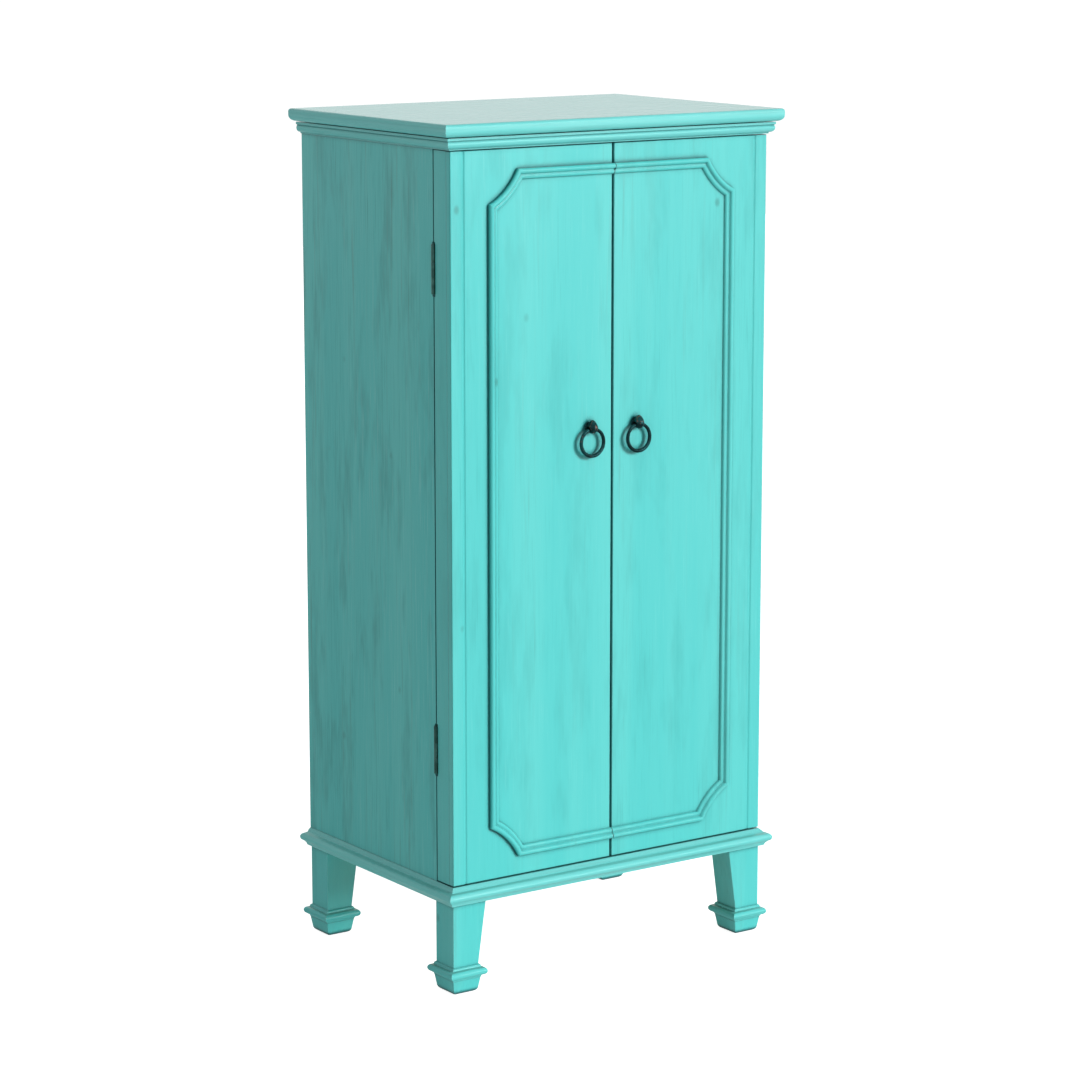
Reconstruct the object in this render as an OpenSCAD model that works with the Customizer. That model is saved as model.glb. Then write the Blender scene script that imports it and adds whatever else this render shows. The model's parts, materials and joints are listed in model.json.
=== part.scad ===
// Free-standing jewelry cabinet: lift-top lid with a mirror over a ring tray, two deep
// box doors with hooks and hanging ring pulls, and a stack of drawers, on four tapered legs.
// Millimetres. +Z is up and the front faces -Y. The origin is on the floor, at the middle
// of the whole object's footprint.

/* [Overall] */
// Height from the floor to the top of the lid
total_height = 1016; // [1000:1:1060]
// Width of the carcass across its two sides
body_width = 452; // [440:1:500]
// Depth of the body from the front of the doors to the back
body_depth = 320; // [310:1:360]

/* [Lid] */
// Thickness of the lid board
lid_thickness = 15; // [13:1:18]
// How far the lid stands out past the front and the sides
lid_overhang = 15; // [13:1:20]
// How far the lid stands out past the back
lid_back_overhang = 5; // [4:1:6]
// Height of the mirror frame under the lid
mirror_frame_height = 7; // [5:1:9]

/* [Doors] */
// Depth of a door from its front face to its back edge
door_depth = 33; // [30:1:36]
// Gap between the doors and the carcass behind them
door_gap = 2; // [2:0.5:3]
// Gap between the two doors, and above them
door_reveal = 1; // [0.8:0.1:2]
// Thickness of a door's front panel
door_panel = 8; // [6:1:10]
// Thickness of the rails around a door's hollow
door_rail = 12; // [10:1:14]
// Distance of the vertical groove from a door's outer edge
groove_inset = 18; // [16:1:24]

/* [Panel moulding] */
// Distance of the moulding's outer edge from the side of the body
moulding_side = 51; // [45:1:60]
// Distance of the moulding's outer edge from a door's top and bottom
moulding_end = 23; // [18:1:30]
// Size of the scooped corners
scoop_size = 39; // [30:1:45]
// Radius of the scooped corners
scoop_radius = 85; // [60:1:120]

/* [Ring pulls] */
// Height of the ring's centre above the floor
pull_height = 639; // [600:1:680]
// Distance of each ring from the seam between the doors
pull_side = 33.5; // [30:0.5:45]
// Radius of the ring at the middle of its wire
ring_radius = 16; // [14:0.5:18]
// Radius of the ring's wire
ring_wire = 2.25; // [2:0.05:2.5]

/* [Base and legs] */
// Height of the underside of the base moulding
base_bottom = 110; // [100:1:130]
// Height of the base moulding
base_height = 21.5; // [21:0.5:26]
// Width of a leg at its top
leg_top_width = 46; // [42:1:52]
// Width of a leg at its foot
leg_foot_width = 35; // [32:1:38]
// Depth of a leg
leg_depth = 37; // [34:1:40]
// Height of the foot block under the leg collar
foot_height = 18; // [14:1:22]
// Height of the leg collar
collar_height = 16; // [14:1:18]

/* [Carcass and tray] */
// Thickness of the side panels
side_panel = 12; // [10:1:15]
// Thickness of the back panel
back_board = 6; // [4:1:8]
// Height of the fixed cornice under the lid
cornice_height = 14; // [14:1:16]
// Depth of the ring tray from its floor to the cornice
tray_depth = 60; // [50:1:70]
// Number of ring rolls in the tray
roll_count = 10; // [8:1:10]

/* [Drawers] */
// Number of drawers
drawer_count = 5; // [4:1:6]
// How much taller each drawer is than the one above it
drawer_step = 22; // [10:1:24]
// Gap above and below a drawer front
drawer_gap = 3; // [2:0.5:4]
// How far the drawer fronts stand back behind the carcass's front edge
drawer_recess = 26; // [24:1:40]
// Thickness of a drawer front
drawer_front_board = 12; // [10:1:15]

/* [Hidden] */
$fn = 48;
far = 2000;
half = body_width / 2;
front_y = -(lid_overhang + body_depth + lid_back_overhang) / 2 + lid_overhang;
back_y = front_y + body_depth;
door_back_y = front_y + door_depth;
carcass_y = door_back_y + door_gap;
base_top = base_bottom + base_height;
lid_gap = 1;
lid_bottom = total_height - lid_thickness;
cornice_top = lid_bottom - lid_gap;
cornice_bottom = cornice_top - cornice_height;
inner_x = half - side_panel;
panel_back_y = back_y - back_board;

// Legs: the rear ones stand in a little from the back
leg_back_inset = 2;
leg_round = 6;
foot_flare = 2;
function leg_y(rear) = rear ? back_y - leg_back_inset - leg_depth : front_y;

// Doors
door_z0 = base_top + 1.5;
door_z1 = cornice_bottom - door_reveal;
seam_x = door_reveal / 2;
door_inner_y = front_y + door_panel;
lining_thickness = 1;
chamfer = 1;
seam_bevel = 1.5;
seam_bevel_depth = 2.4;

// Tray and drawers
tray_floor_thickness = 6;
tray_z = cornice_bottom - tray_depth;
tray_front = 12;
tray_y0 = carcass_y + tray_front;
divider = 6;
divider_height = 44;
divider_x = 36;
roll_pitch = (panel_back_y - tray_y0) / roll_count;
roll_radius = roll_pitch / 2 - 1.3;
bay_top = tray_z - tray_floor_thickness;
drawer_y = carcass_y + drawer_recess;
drawer_back_y = panel_back_y - 7;
drawer_side_gap = 1.5;
drawer_wall = 8;
drawer_floor = 5;
runner_width = 11;
runner_height = 9.5;
top_drawer = (bay_top - base_top - (drawer_count + 1) * drawer_gap
              - drawer_step * drawer_count * (drawer_count - 1) / 2) / drawer_count;
function drawer_height(i) = top_drawer + (i - 1) * drawer_step;
function drawer_z(i) = i == 1 ? bay_top - drawer_gap - top_drawer
                              : drawer_z(i - 1) - drawer_gap - drawer_height(i);

// Hinges
hinge_length = 56;
leaf = 0.9;
leaf_inset = 3;
leaf_width = 8;
knuckle = 2.4;
knuckle_gap = 0.4;
knuckle_length = (hinge_length - 2 * knuckle_gap) / 3;
pin_radius = 1.2;
pin_play = 0.05;
pin_head = 2.1;
pocket = 2.9;
hinge_axis = [-half - 0.5, door_back_y + door_gap / 2];
door_hinge_heights = [262, 822];
lid_axis = [back_y + 2.5, lid_bottom - 3];
lid_hinge_starts = [-150 - hinge_length, 150];
lid_leaf_width = 15;

// Pulls
pull_y = front_y - 7;
pull_bore = 3.4;
pull_axis_z = pull_height + ring_radius - 0.5;
ball_radius = 7;
eye_half_width = 6.2;

// Mirror under the lid
mirror_x = inner_x - 9;
mirror_y0 = tray_y0 + 9;
mirror_y1 = back_y - side_panel - 9;
mirror_border = 22;
mirror_thickness = 3;

// Hooks and catches
hook_count = 6;
hook_rail_height = 16;
hook_rail_thickness = 7;
hook_z = door_z1 - door_rail - 27;
hook_rail_y = door_inner_y + lining_thickness;
hook_face_y = hook_rail_y + hook_rail_thickness;
hook_x0 = -half + door_rail + 8;
hook_x1 = -seam_x - door_rail - 8;
magnet_radius = 5;
magnet_x = 22;
magnet_z = door_z1 - door_rail / 2;

LEGS = [["front_left_leg", -1, 0], ["front_right_leg", 1, 0],
        ["rear_left_leg", -1, 1], ["rear_right_leg", 1, 1]];
DOORS = [["left", 0], ["right", 1]];
DOOR_NODES = ["_door_panel", "_door_frame", "_door_moulding", "_door_lining", "_hook_rail",
              "_hooks", "_pull_post", "_pull_ring", "_hinge_leaves", "_strike_plate"];
DRAWER_NODES = ["_front", "_box", "_knobs"];

turquoise = "mediumturquoise";
bronze = "dimgray";
felt = "lightgray";
bare_wood = "burlywood";

// Points of an arc from angle a0 to a1 in n steps
function arc(cx, cz, r, a0, a1, n = 8) =
    [for (i = [0:n]) [cx + r * cos(a0 + (a1 - a0) * i / n), cz + r * sin(a0 + (a1 - a0) * i / n)]];
function reversed(list) = [for (i = [len(list) - 1:-1:0]) list[i]];

// Edge profiles: [how far it stands out, height], from the top down
function lid_profile() = concat(
    arc(lid_overhang - 3.5, total_height - 3.5, 3.5, 90, 0, 6),
    arc(lid_overhang - 7, lid_bottom + 7, 7, 0, -90));
function cornice_profile() = concat(
    [[7.6, cornice_top], [7.6, cornice_top - 2.6], [6.4, cornice_top - 3.4]],
    arc(1.8, cornice_top - 7, 5.2, 40, -90, 10),
    [[1.4, cornice_top - 12.6], [1.4, cornice_bottom]]);
function base_profile() = concat(
    [[0, base_top], [3.4, base_top - 3.1], [3.9, base_top - 4.4], [5.4, base_top - 5.2]],
    arc(7.4, base_bottom + 10.5, 5, 70, -75),
    [[6.2, base_bottom + 3], [5, base_bottom]]);
function collar_profile() = concat(
    [[0, foot_height + collar_height], [1.8, foot_height + collar_height - 1.2],
     [2.4, foot_height + collar_height - 3.4]],
    arc(3.4, foot_height + 7.4, 4.6, 78, -90),
    [[2.2, foot_height + 1], [2.2, foot_height]]);

// Keeps what a silhouette in X and Z and a silhouette in Y and Z share. With the same profile
// in both, the edges meet in mitred corners.
module silhouettes(x_outline, y_outline) {
    intersection() {
        rotate([90, 0, 0]) translate([0, 0, -far]) linear_extrude(2 * far) polygon(x_outline);
        rotate([90, 0, 90]) translate([0, 0, -far]) linear_extrude(2 * far) polygon(y_outline);
    }
}

// A block from x0 to x1 and y0 to y1 with the profile around its edges. back_cut is how much
// less the profile stands out at the back.
module moulded_block(x0, x1, y0, y1, profile, back_cut = 0) {
    silhouettes(
        concat([for (p = profile) [x1 + p[0], p[1]]],
               reversed([for (p = profile) [x0 - p[0], p[1]]])),
        concat([for (p = profile) [y1 + max(0, p[0] - back_cut), p[1]]],
               reversed([for (p = profile) [y0 - p[0], p[1]]])));
}

module box(x0, x1, y0, y1, z0, z1) {
    translate([x0, y0, z0]) cube([x1 - x0, y1 - y0, z1 - z0]);
}

// Does its children for one side: 0 is the left, as drawn, and 1 is the right
module side(s) {
    if (s == 1) mirror([1, 0, 0]) children();
    else children();
}

// ---- Carcass ----

module side_panel_board(s) {
    color(turquoise) side(s) difference() {
        box(-half, -inner_x, carcass_y, back_y, base_top, cornice_bottom);
        hinge_pockets();
    }
}

module back_panel() {
    color(turquoise) box(-inner_x, inner_x, panel_back_y, back_y, base_top, cornice_bottom);
}

module plinth_board() {
    color(bare_wood) box(-inner_x, inner_x, front_y + side_panel, back_y - side_panel,
                         base_bottom, base_top);
}

module base_moulding() {
    color(turquoise) difference() {
        moulded_block(-half, half, front_y, back_y, base_profile(), 7.4);
        box(-inner_x, inner_x, front_y + side_panel, back_y - side_panel,
            base_bottom - 1, base_top + 1);
    }
}

// Outline of a leg from a0: top_w wide at the top, foot_w wide at the collar, and below that a
// foot block that stands out by foot_flare at its top and draws in to round lower edges
function leg_outline(a0, foot_w, top_w) = concat(
    [[a0 + top_w, base_bottom], [a0, base_bottom], [a0, foot_height],
     [a0 - foot_flare, foot_height]],
    arc(a0 + leg_round, leg_round, leg_round, 180, 270, 5),
    arc(a0 + foot_w - leg_round, leg_round, leg_round, 270, 360, 5),
    [[a0 + foot_w + foot_flare, foot_height], [a0 + foot_w, foot_height],
     [a0 + foot_w, foot_height + collar_height]]);

module leg(side_of, rear) {
    y0 = leg_y(rear);
    color(turquoise) side(side_of > 0 ? 1 : 0) silhouettes(
        leg_outline(-half, leg_foot_width, leg_top_width), leg_outline(y0, leg_depth, leg_depth));
}

module leg_collars() {
    color(turquoise) for (l = LEGS) side(l[1] > 0 ? 1 : 0) difference() {
        moulded_block(-half, -half + leg_foot_width, leg_y(l[2]), leg_y(l[2]) + leg_depth,
                      collar_profile());
        box(-half, -half + leg_foot_width, leg_y(l[2]), leg_y(l[2]) + leg_depth,
            foot_height - 1, foot_height + collar_height + 1);
    }
}

module cornice() {
    color(turquoise) difference() {
        moulded_block(-half, half, front_y, back_y, cornice_profile(), 9);
        box(-inner_x, inner_x, tray_y0, back_y - side_panel, cornice_bottom - 1, cornice_top + 1);
    }
}

// ---- Tray under the lid ----

module tray_floor() {
    color(bare_wood) box(-inner_x, inner_x, carcass_y, panel_back_y, bay_top, tray_z);
}

module tray_front_rail() {
    color(turquoise) difference() {
        box(-inner_x, inner_x, carcass_y, tray_y0, tray_z, cornice_bottom);
        magnets(8.4);
    }
}

module tray_dividers() {
    third = (panel_back_y - tray_y0 - 2 * divider) / 3;
    color(felt) {
        box(divider_x, divider_x + divider, tray_y0, panel_back_y, tray_z, tray_z + divider_height);
        for (i = [1, 2])
            translate([0, tray_y0 + i * third + (i - 1) * divider, 0])
                box(divider_x, inner_x, 0, divider, tray_z, tray_z + divider_height);
    }
}

module ring_rolls() {
    end_gap = 3;
    color(felt) for (i = [0:roll_count - 1])
        translate([-inner_x + end_gap, tray_y0 + (i + 0.5) * roll_pitch, tray_z + roll_radius])
            rotate([0, 90, 0]) cylinder(r = roll_radius, h = divider_x + inner_x - 2 * end_gap);
}

module drawer_runners() {
    color(bare_wood) for (i = [1:drawer_count], s = [0, 1])
        side(s) box(-inner_x, -inner_x + runner_width, drawer_y + drawer_front_board + 1,
                    drawer_back_y, drawer_z(i), drawer_z(i) + runner_height);
}

// ---- Hinges ----

module door_hinge_axis() {
    translate([hinge_axis[0], hinge_axis[1], 0]) children();
}

module hinge_pockets() {
    for (z = door_hinge_heights)
        door_hinge_axis() translate([0, 0, z - 3]) cylinder(r = pocket, h = hinge_length + 6);
}

// Barrel pieces along +Z: "outer" is the two end knuckles, and otherwise it is the middle one
module knuckles(outer) {
    pitch = knuckle_length + knuckle_gap;
    for (i = outer ? [0, 2] : [1])
        translate([0, 0, i * pitch]) cylinder(r = knuckle, h = knuckle_length);
}

// A leaf in the XZ plane from leaf_inset out to width, with tabs to its knuckles
module leaf_plate(outer, y0, width) {
    pitch = knuckle_length + knuckle_gap;
    box(leaf_inset, leaf_inset + width, y0, y0 + leaf, 0, hinge_length);
    for (i = outer ? [0, 2] : [1])
        box(0, leaf_inset + 1, y0, y0 + leaf, i * pitch, i * pitch + knuckle_length);
}

module hinge_half(outer, y0, width) {
    difference() {
        union() {
            knuckles(outer);
            leaf_plate(outer, y0, width);
        }
        translate([0, 0, -1])
            cylinder(r = outer ? pin_radius : pin_radius + pin_play, h = hinge_length + 2);
    }
}

module cabinet_hinge_leaves() {
    color(bronze) for (s = [0, 1], z = door_hinge_heights)
        side(s) door_hinge_axis() translate([0, 0, z])
            hinge_half(true, door_gap / 2 - leaf, leaf_width);
}

module door_hinge_leaves(s) {
    color(bronze) for (z = door_hinge_heights)
        side(s) door_hinge_axis() translate([0, 0, z])
            hinge_half(false, -door_gap / 2, leaf_width);
}

module hinge_pin() {
    cylinder(r = pin_radius, h = hinge_length);
    translate([0, 0, hinge_length]) cylinder(r = pin_head, h = 1.2);
}

// Lays a hinge drawn along +Z on the lid's axis, at both places along X
module at_lid_hinges() {
    for (x = lid_hinge_starts)
        translate([x, lid_axis[0], lid_axis[1]]) rotate([90, 0, 90]) children();
}

// In the hinge's own drawing, X runs to the back and Y runs up
module lid_hinge_cabinet_leaves() {
    reach = lid_axis[0] - back_y;
    pitch = knuckle_length + knuckle_gap;
    color(bronze) at_lid_hinges() difference() {
        union() {
            knuckles(true);
            box(-reach, -reach + leaf, -3.6 - lid_leaf_width, -3.6, 0, hinge_length);
            for (i = [0, 2])
                box(-reach, -reach + leaf, -4, 0, i * pitch, i * pitch + knuckle_length);
        }
        translate([0, 0, -1]) cylinder(r = pin_radius, h = hinge_length + 2);
    }
}

module lid_hinge_leaves() {
    reach = lid_axis[0] - back_y;
    rise = lid_bottom - lid_axis[1];
    pitch = knuckle_length + knuckle_gap;
    color(bronze) at_lid_hinges() difference() {
        union() {
            knuckles(false);
            box(-reach - lid_leaf_width, -reach, rise - leaf, rise, 0, hinge_length);
            box(-reach - 1, 0, rise - leaf, rise, pitch, pitch + knuckle_length);
        }
        translate([0, 0, -1]) cylinder(r = pin_radius + pin_play, h = hinge_length + 2);
    }
}

module hinge_pins() {
    color(bronze) {
        for (s = [0, 1], z = door_hinge_heights)
            side(s) door_hinge_axis() translate([0, 0, z]) hinge_pin();
        at_lid_hinges() hinge_pin();
    }
}

// ---- Lid ----

module lid_board() {
    color(turquoise)
        moulded_block(-half, half, front_y, back_y, lid_profile(), lid_overhang - lid_back_overhang);
}

module lid_mirror_frame() {
    inner = [[1, -mirror_frame_height - 1], [1, -mirror_frame_height], [-3, -mirror_thickness],
             [-3, 1]];
    color(turquoise) difference() {
        box(-mirror_x, mirror_x, mirror_y0, mirror_y1, lid_bottom - mirror_frame_height, lid_bottom);
        moulded_block(-mirror_x + mirror_border, mirror_x - mirror_border,
                      mirror_y0 + mirror_border, mirror_y1 - mirror_border,
                      [for (p = inner) [p[0], lid_bottom + p[1]]], -4);
    }
}

module lid_mirror() {
    inset = mirror_border + 3;
    color("lightsteelblue")
        box(-mirror_x + inset, mirror_x - inset, mirror_y0 + inset, mirror_y1 - inset,
            lid_bottom - mirror_thickness, lid_bottom);
}

module lid_bumpers() {
    bumper_x = half - 16;
    bumper_y = front_y + 16;
    color(bronze) for (x = [-bumper_x, bumper_x])
        translate([x, bumper_y, cornice_top + 0.1]) cylinder(r = 5, h = lid_gap - 0.1);
}

// ---- Doors, drawn as the left one ----

module door_panel_board(s) {
    groove_w = 1.8;
    groove_d = 1.2;
    groove_x = -half + groove_inset;
    outline = [[-half, door_inner_y], [-half, front_y + chamfer], [-half + chamfer, front_y],
               [groove_x - groove_w, front_y], [groove_x, front_y + groove_d],
               [groove_x + groove_w, front_y], [-seam_x - seam_bevel, front_y],
               [-seam_x, front_y + seam_bevel_depth], [-seam_x, door_inner_y]];
    color(turquoise) side(s) translate([0, 0, door_z0])
        linear_extrude(door_z1 - door_z0) polygon(outline);
}

module door_frame(s) {
    color(turquoise) side(s) difference() {
        box(-half, -seam_x, door_inner_y, door_back_y, door_z0, door_z1);
        box(-half + door_rail, -seam_x - door_rail, door_inner_y - 1, door_back_y + 1,
            door_z0 + door_rail, door_z1 - door_rail);
        hinge_pockets();
    }
}

// One scooped corner as a run of points. corner is the square corner that it replaces, and
// sx and sz point from there into the panel.
function scoop(corner, sx, sz) =
    let (c = scoop_size / 2 - sqrt(pow(scoop_radius, 2) - pow(scoop_size, 2) / 2) / sqrt(2),
         a = atan2(-c, scoop_size - c))
    [for (p = arc(c, c, scoop_radius, a, 90 - a, 8)) [corner[0] + sx * p[0], corner[1] + sz * p[1]]];

// Outer edge of a door's half of the moulding, from the seam, round the outside, and back
function moulding_path() =
    let (x0 = -half + moulding_side, z0 = door_z0 + moulding_end, z1 = door_z1 - moulding_end)
    concat([[-seam_x, z0]], scoop([x0, z0], 1, 1), reversed(scoop([x0, z1], 1, -1)),
           [[-seam_x, z1]]);

// Moulding section: [distance in from the outer edge, height]. A round bead, a groove and a
// lower rounded step.
moulding_section = concat([[0, 0]], arc(3.1, 2.9, 3.1, 180, 20, 8), [[6.9, 3], [7.7, 3]],
                          arc(9.3, 0.2, 3.2, 112, 8, 4), [[12.9, 0]]);

module door_moulding(s) {
    path = moulding_path();
    n = len(path);
    m = len(moulding_section);
    ways = [for (i = [0:n - 2]) (path[i + 1] - path[i]) / norm(path[i + 1] - path[i])];
    normals = [for (w = ways) [w[1], -w[0]]];
    mitres = [for (i = [0:n - 1])
        let (a = normals[max(0, i - 1)], b = normals[min(n - 2, i)]) (a + b) / (1 + a * b)];
    points = [for (i = [0:n - 1], q = moulding_section)
        [path[i][0] + mitres[i][0] * q[0], front_y - q[1], path[i][1] + mitres[i][1] * q[0]]];
    sides = [for (i = [0:n - 2], j = [0:m - 1])
        let (k = (j + 1) % m) [i * m + j, (i + 1) * m + j, (i + 1) * m + k, i * m + k]];
    caps = [[for (j = [0:m - 1]) j], [for (j = [m - 1:-1:0]) (n - 1) * m + j]];
    color(turquoise) side(s) polyhedron(points, concat(sides, caps));
}

module door_lining(s) {
    color(felt) side(s)
        box(-half + door_rail, -seam_x - door_rail, door_inner_y, door_inner_y + lining_thickness,
            door_z0 + door_rail, door_z1 - door_rail);
}

module hook_rail(s) {
    color(bare_wood) side(s)
        box(hook_x0, hook_x1, hook_rail_y, hook_face_y, hook_z, hook_z + hook_rail_height);
}

module hooks(s) {
    stem = 7.5;
    wire = 1.3;
    pitch = (hook_x1 - hook_x0) / hook_count;
    color(bronze) side(s) for (i = [0:hook_count - 1])
        translate([hook_x0 + (i + 0.5) * pitch, hook_face_y, hook_z + 6]) {
            rotate([-90, 0, 0]) cylinder(r = 3.2, h = 1);
            rotate([-90, 0, 0]) cylinder(r = wire, h = stem);
            translate([0, stem, 0]) sphere(wire);
            translate([0, stem, 0]) cylinder(r = wire, h = 5);
            translate([0, stem, 5.6]) sphere(1.9);
        }
}

module pull_post(s) {
    ball_z = pull_axis_z + 2;
    color(bronze) side(s) difference() {
        union() {
            translate([-pull_side, front_y, ball_z]) rotate([90, 0, 0]) cylinder(r = 6, h = 1.4);
            translate([-pull_side, front_y, ball_z]) rotate([90, 0, 0]) cylinder(r = 3.4, h = 5);
            translate([-pull_side, pull_y, ball_z]) rotate([90, 0, 0]) sphere(ball_radius);
        }
        translate([-pull_side - 10, pull_y, pull_axis_z]) rotate([0, 90, 0])
            cylinder(r = pull_bore, h = 20);
        translate([-pull_side - 10, front_y, ball_z - 10]) cube(20);
        for (x = [-pull_side - eye_half_width - 10, -pull_side + eye_half_width])
            translate([x, pull_y - 10, ball_z - 10]) cube([10, 16, 20]);
    }
}

module pull_ring(s) {
    color(bronze) side(s) translate([-pull_side, pull_y, pull_height]) rotate([90, 0, 0])
        rotate_extrude() translate([ring_radius, 0]) circle(ring_wire);
}

module magnets(length) {
    for (x = [-magnet_x, magnet_x])
        translate([x, carcass_y - 0.8, magnet_z]) rotate([-90, 0, 0])
            cylinder(r = magnet_radius, h = length);
}

module catch_magnets() {
    color("silver") magnets(8.4);
}

module strike_plate(s) {
    color("silver") side(s) translate([-magnet_x, door_back_y, magnet_z]) rotate([-90, 0, 0])
        cylinder(r = magnet_radius + 0.8, h = 0.8);
}

// ---- Drawers ----

module drawer_front(i) {
    x1 = inner_x - drawer_side_gap;
    z0 = drawer_z(i);
    z1 = z0 + drawer_height(i);
    y1 = drawer_y + drawer_front_board;
    bevel = 3;
    color(turquoise) silhouettes(
        [[-x1, z0], [x1, z0], [x1, z1], [-x1, z1]],
        [[y1, z0], [drawer_y + bevel, z0], [drawer_y, z0 + bevel], [drawer_y, z1 - bevel],
         [drawer_y + bevel, z1], [y1, z1]]);
}

module drawer_box(i) {
    x1 = inner_x - 3;
    y0 = drawer_y + drawer_front_board;
    z0 = drawer_z(i) + runner_height + 0.5;
    z1 = drawer_z(i) + drawer_height(i) - 10;
    color(bare_wood) difference() {
        box(-x1, x1, y0, drawer_back_y, z0, z1);
        box(-x1 + drawer_wall, x1 - drawer_wall, y0 - 1, drawer_back_y - drawer_wall,
            z0 + drawer_floor, z1 + 1);
    }
}

module drawer_knobs(i) {
    spacing = inner_x / 2;
    profile = concat([[0, 0], [6, 0], [6, 1.2], [4, 2.4], [3.6, 8]],
                     arc(5.5, 13.5, 4.7, -70, 70, 6), [[0, 19.6]]);
    color(bronze) for (x = [-spacing, spacing])
        translate([x, drawer_y, drawer_z(i) + drawer_height(i) / 2]) rotate([90, 0, 0])
            rotate_extrude() polygon(profile);
}

// ---- Nodes ----

side_panel_board(0);  // left_side_panel
side_panel_board(1);  // right_side_panel
back_panel();
plinth_board();
base_moulding();
for (l = LEGS) leg(l[1], l[2]);
leg_collars();
cornice();
tray_floor();
tray_front_rail();
tray_dividers();
ring_rolls();
drawer_runners();
cabinet_hinge_leaves();
lid_hinge_cabinet_leaves();
hinge_pins();
catch_magnets();
lid_board();
lid_mirror_frame();
lid_mirror();
lid_hinge_leaves();
lid_bumpers();
for (d = DOORS) {
    door_panel_board(d[1]);
    door_frame(d[1]);
    door_moulding(d[1]);
    door_lining(d[1]);
    hook_rail(d[1]);
    hooks(d[1]);
    pull_post(d[1]);
    pull_ring(d[1]);
    door_hinge_leaves(d[1]);
    strike_plate(d[1]);
}
for (i = [1:drawer_count]) {
    drawer_front(i);
    drawer_box(i);
    drawer_knobs(i);
}
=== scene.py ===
import json
import math

import bmesh
import bpy
from mathutils import Matrix, Vector

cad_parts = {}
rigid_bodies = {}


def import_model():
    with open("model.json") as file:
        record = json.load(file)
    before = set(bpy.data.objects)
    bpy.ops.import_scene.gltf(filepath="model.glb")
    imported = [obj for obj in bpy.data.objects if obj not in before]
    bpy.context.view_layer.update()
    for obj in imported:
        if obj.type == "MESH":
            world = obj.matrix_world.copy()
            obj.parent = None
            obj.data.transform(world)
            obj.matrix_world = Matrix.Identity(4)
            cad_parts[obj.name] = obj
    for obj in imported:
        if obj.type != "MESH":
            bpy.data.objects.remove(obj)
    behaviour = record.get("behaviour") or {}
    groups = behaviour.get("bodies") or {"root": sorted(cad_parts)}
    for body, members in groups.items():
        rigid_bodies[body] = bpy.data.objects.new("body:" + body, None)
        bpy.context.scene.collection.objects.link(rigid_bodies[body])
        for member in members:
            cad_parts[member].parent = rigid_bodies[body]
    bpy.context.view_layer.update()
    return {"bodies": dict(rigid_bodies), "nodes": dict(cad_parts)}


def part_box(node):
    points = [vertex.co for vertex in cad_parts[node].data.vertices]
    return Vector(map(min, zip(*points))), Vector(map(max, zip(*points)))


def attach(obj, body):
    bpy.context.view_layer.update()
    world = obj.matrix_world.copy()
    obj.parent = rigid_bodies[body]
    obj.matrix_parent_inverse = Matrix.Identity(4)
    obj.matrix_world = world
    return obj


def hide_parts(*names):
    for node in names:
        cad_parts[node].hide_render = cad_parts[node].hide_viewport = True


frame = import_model()

MM = 0.001
NODES = frame["nodes"]
DRAWERS = [name for name in frame["bodies"] if name.startswith("drawer_")]
SIDES = ("left", "right")


# ---- Colours ----

def srgb(red, green, blue):
    """A linear colour from screen values of 0 to 255."""
    def linear(value):
        value /= 255
        return value / 12.92 if value <= 0.04045 else ((value + 0.055) / 1.055) ** 2.4
    return (linear(red), linear(green), linear(blue), 1.0)


PAINT = srgb(82, 203, 200)
PAINT_PALE = srgb(92, 207, 203)
PAINT_DEEP = srgb(38, 130, 128)
# Pale rubbed paint, also used as a painted sheen over the whole of the trims.
PAINT_RUBBED_AND_SHEEN = srgb(158, 234, 231)
# A greyer turquoise for faces that look up.
PAINT_UPWARD_GREY = srgb(110, 197, 190)
# Dark glazing, also used as painted shade in creases and gaps.
GLAZE_AND_SHADE = srgb(12, 88, 92)
GREY_BROWN = srgb(84, 130, 120)
KNOT = srgb(52, 120, 114)
VELVET = srgb(196, 186, 168)
VELVET_SHADE = srgb(189, 178, 160)
VELVET_PILE = srgb(142, 131, 113)
VELVET_PAINTED_SHADE = srgb(104, 94, 80)
WOOD = srgb(203, 165, 116)
WOOD_DARK = srgb(158, 112, 68)
WOOD_PAINTED_SHADE = srgb(90, 62, 38)
BRONZE = srgb(26, 70, 72)
BRONZE_DARK = srgb(12, 42, 44)
COPPER = srgb(134, 92, 80)
PATINA = srgb(64, 104, 98)
PATINA_DARK = srgb(42, 76, 71)
STEEL = srgb(190, 192, 194)
STEEL_DARK = srgb(150, 152, 156)
SILVER = srgb(232, 236, 238)
SILVER_HAZE = srgb(228, 233, 235)
SILVER_PAINTED_SHADE = srgb(120, 128, 128)
RUBBER = srgb(62, 60, 58)
RUBBER_DUSTY = srgb(84, 82, 80)
FLOOR_GREY = srgb(214, 214, 214)
WHITE = srgb(255, 255, 255)


# ---- Node graphs ----

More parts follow.
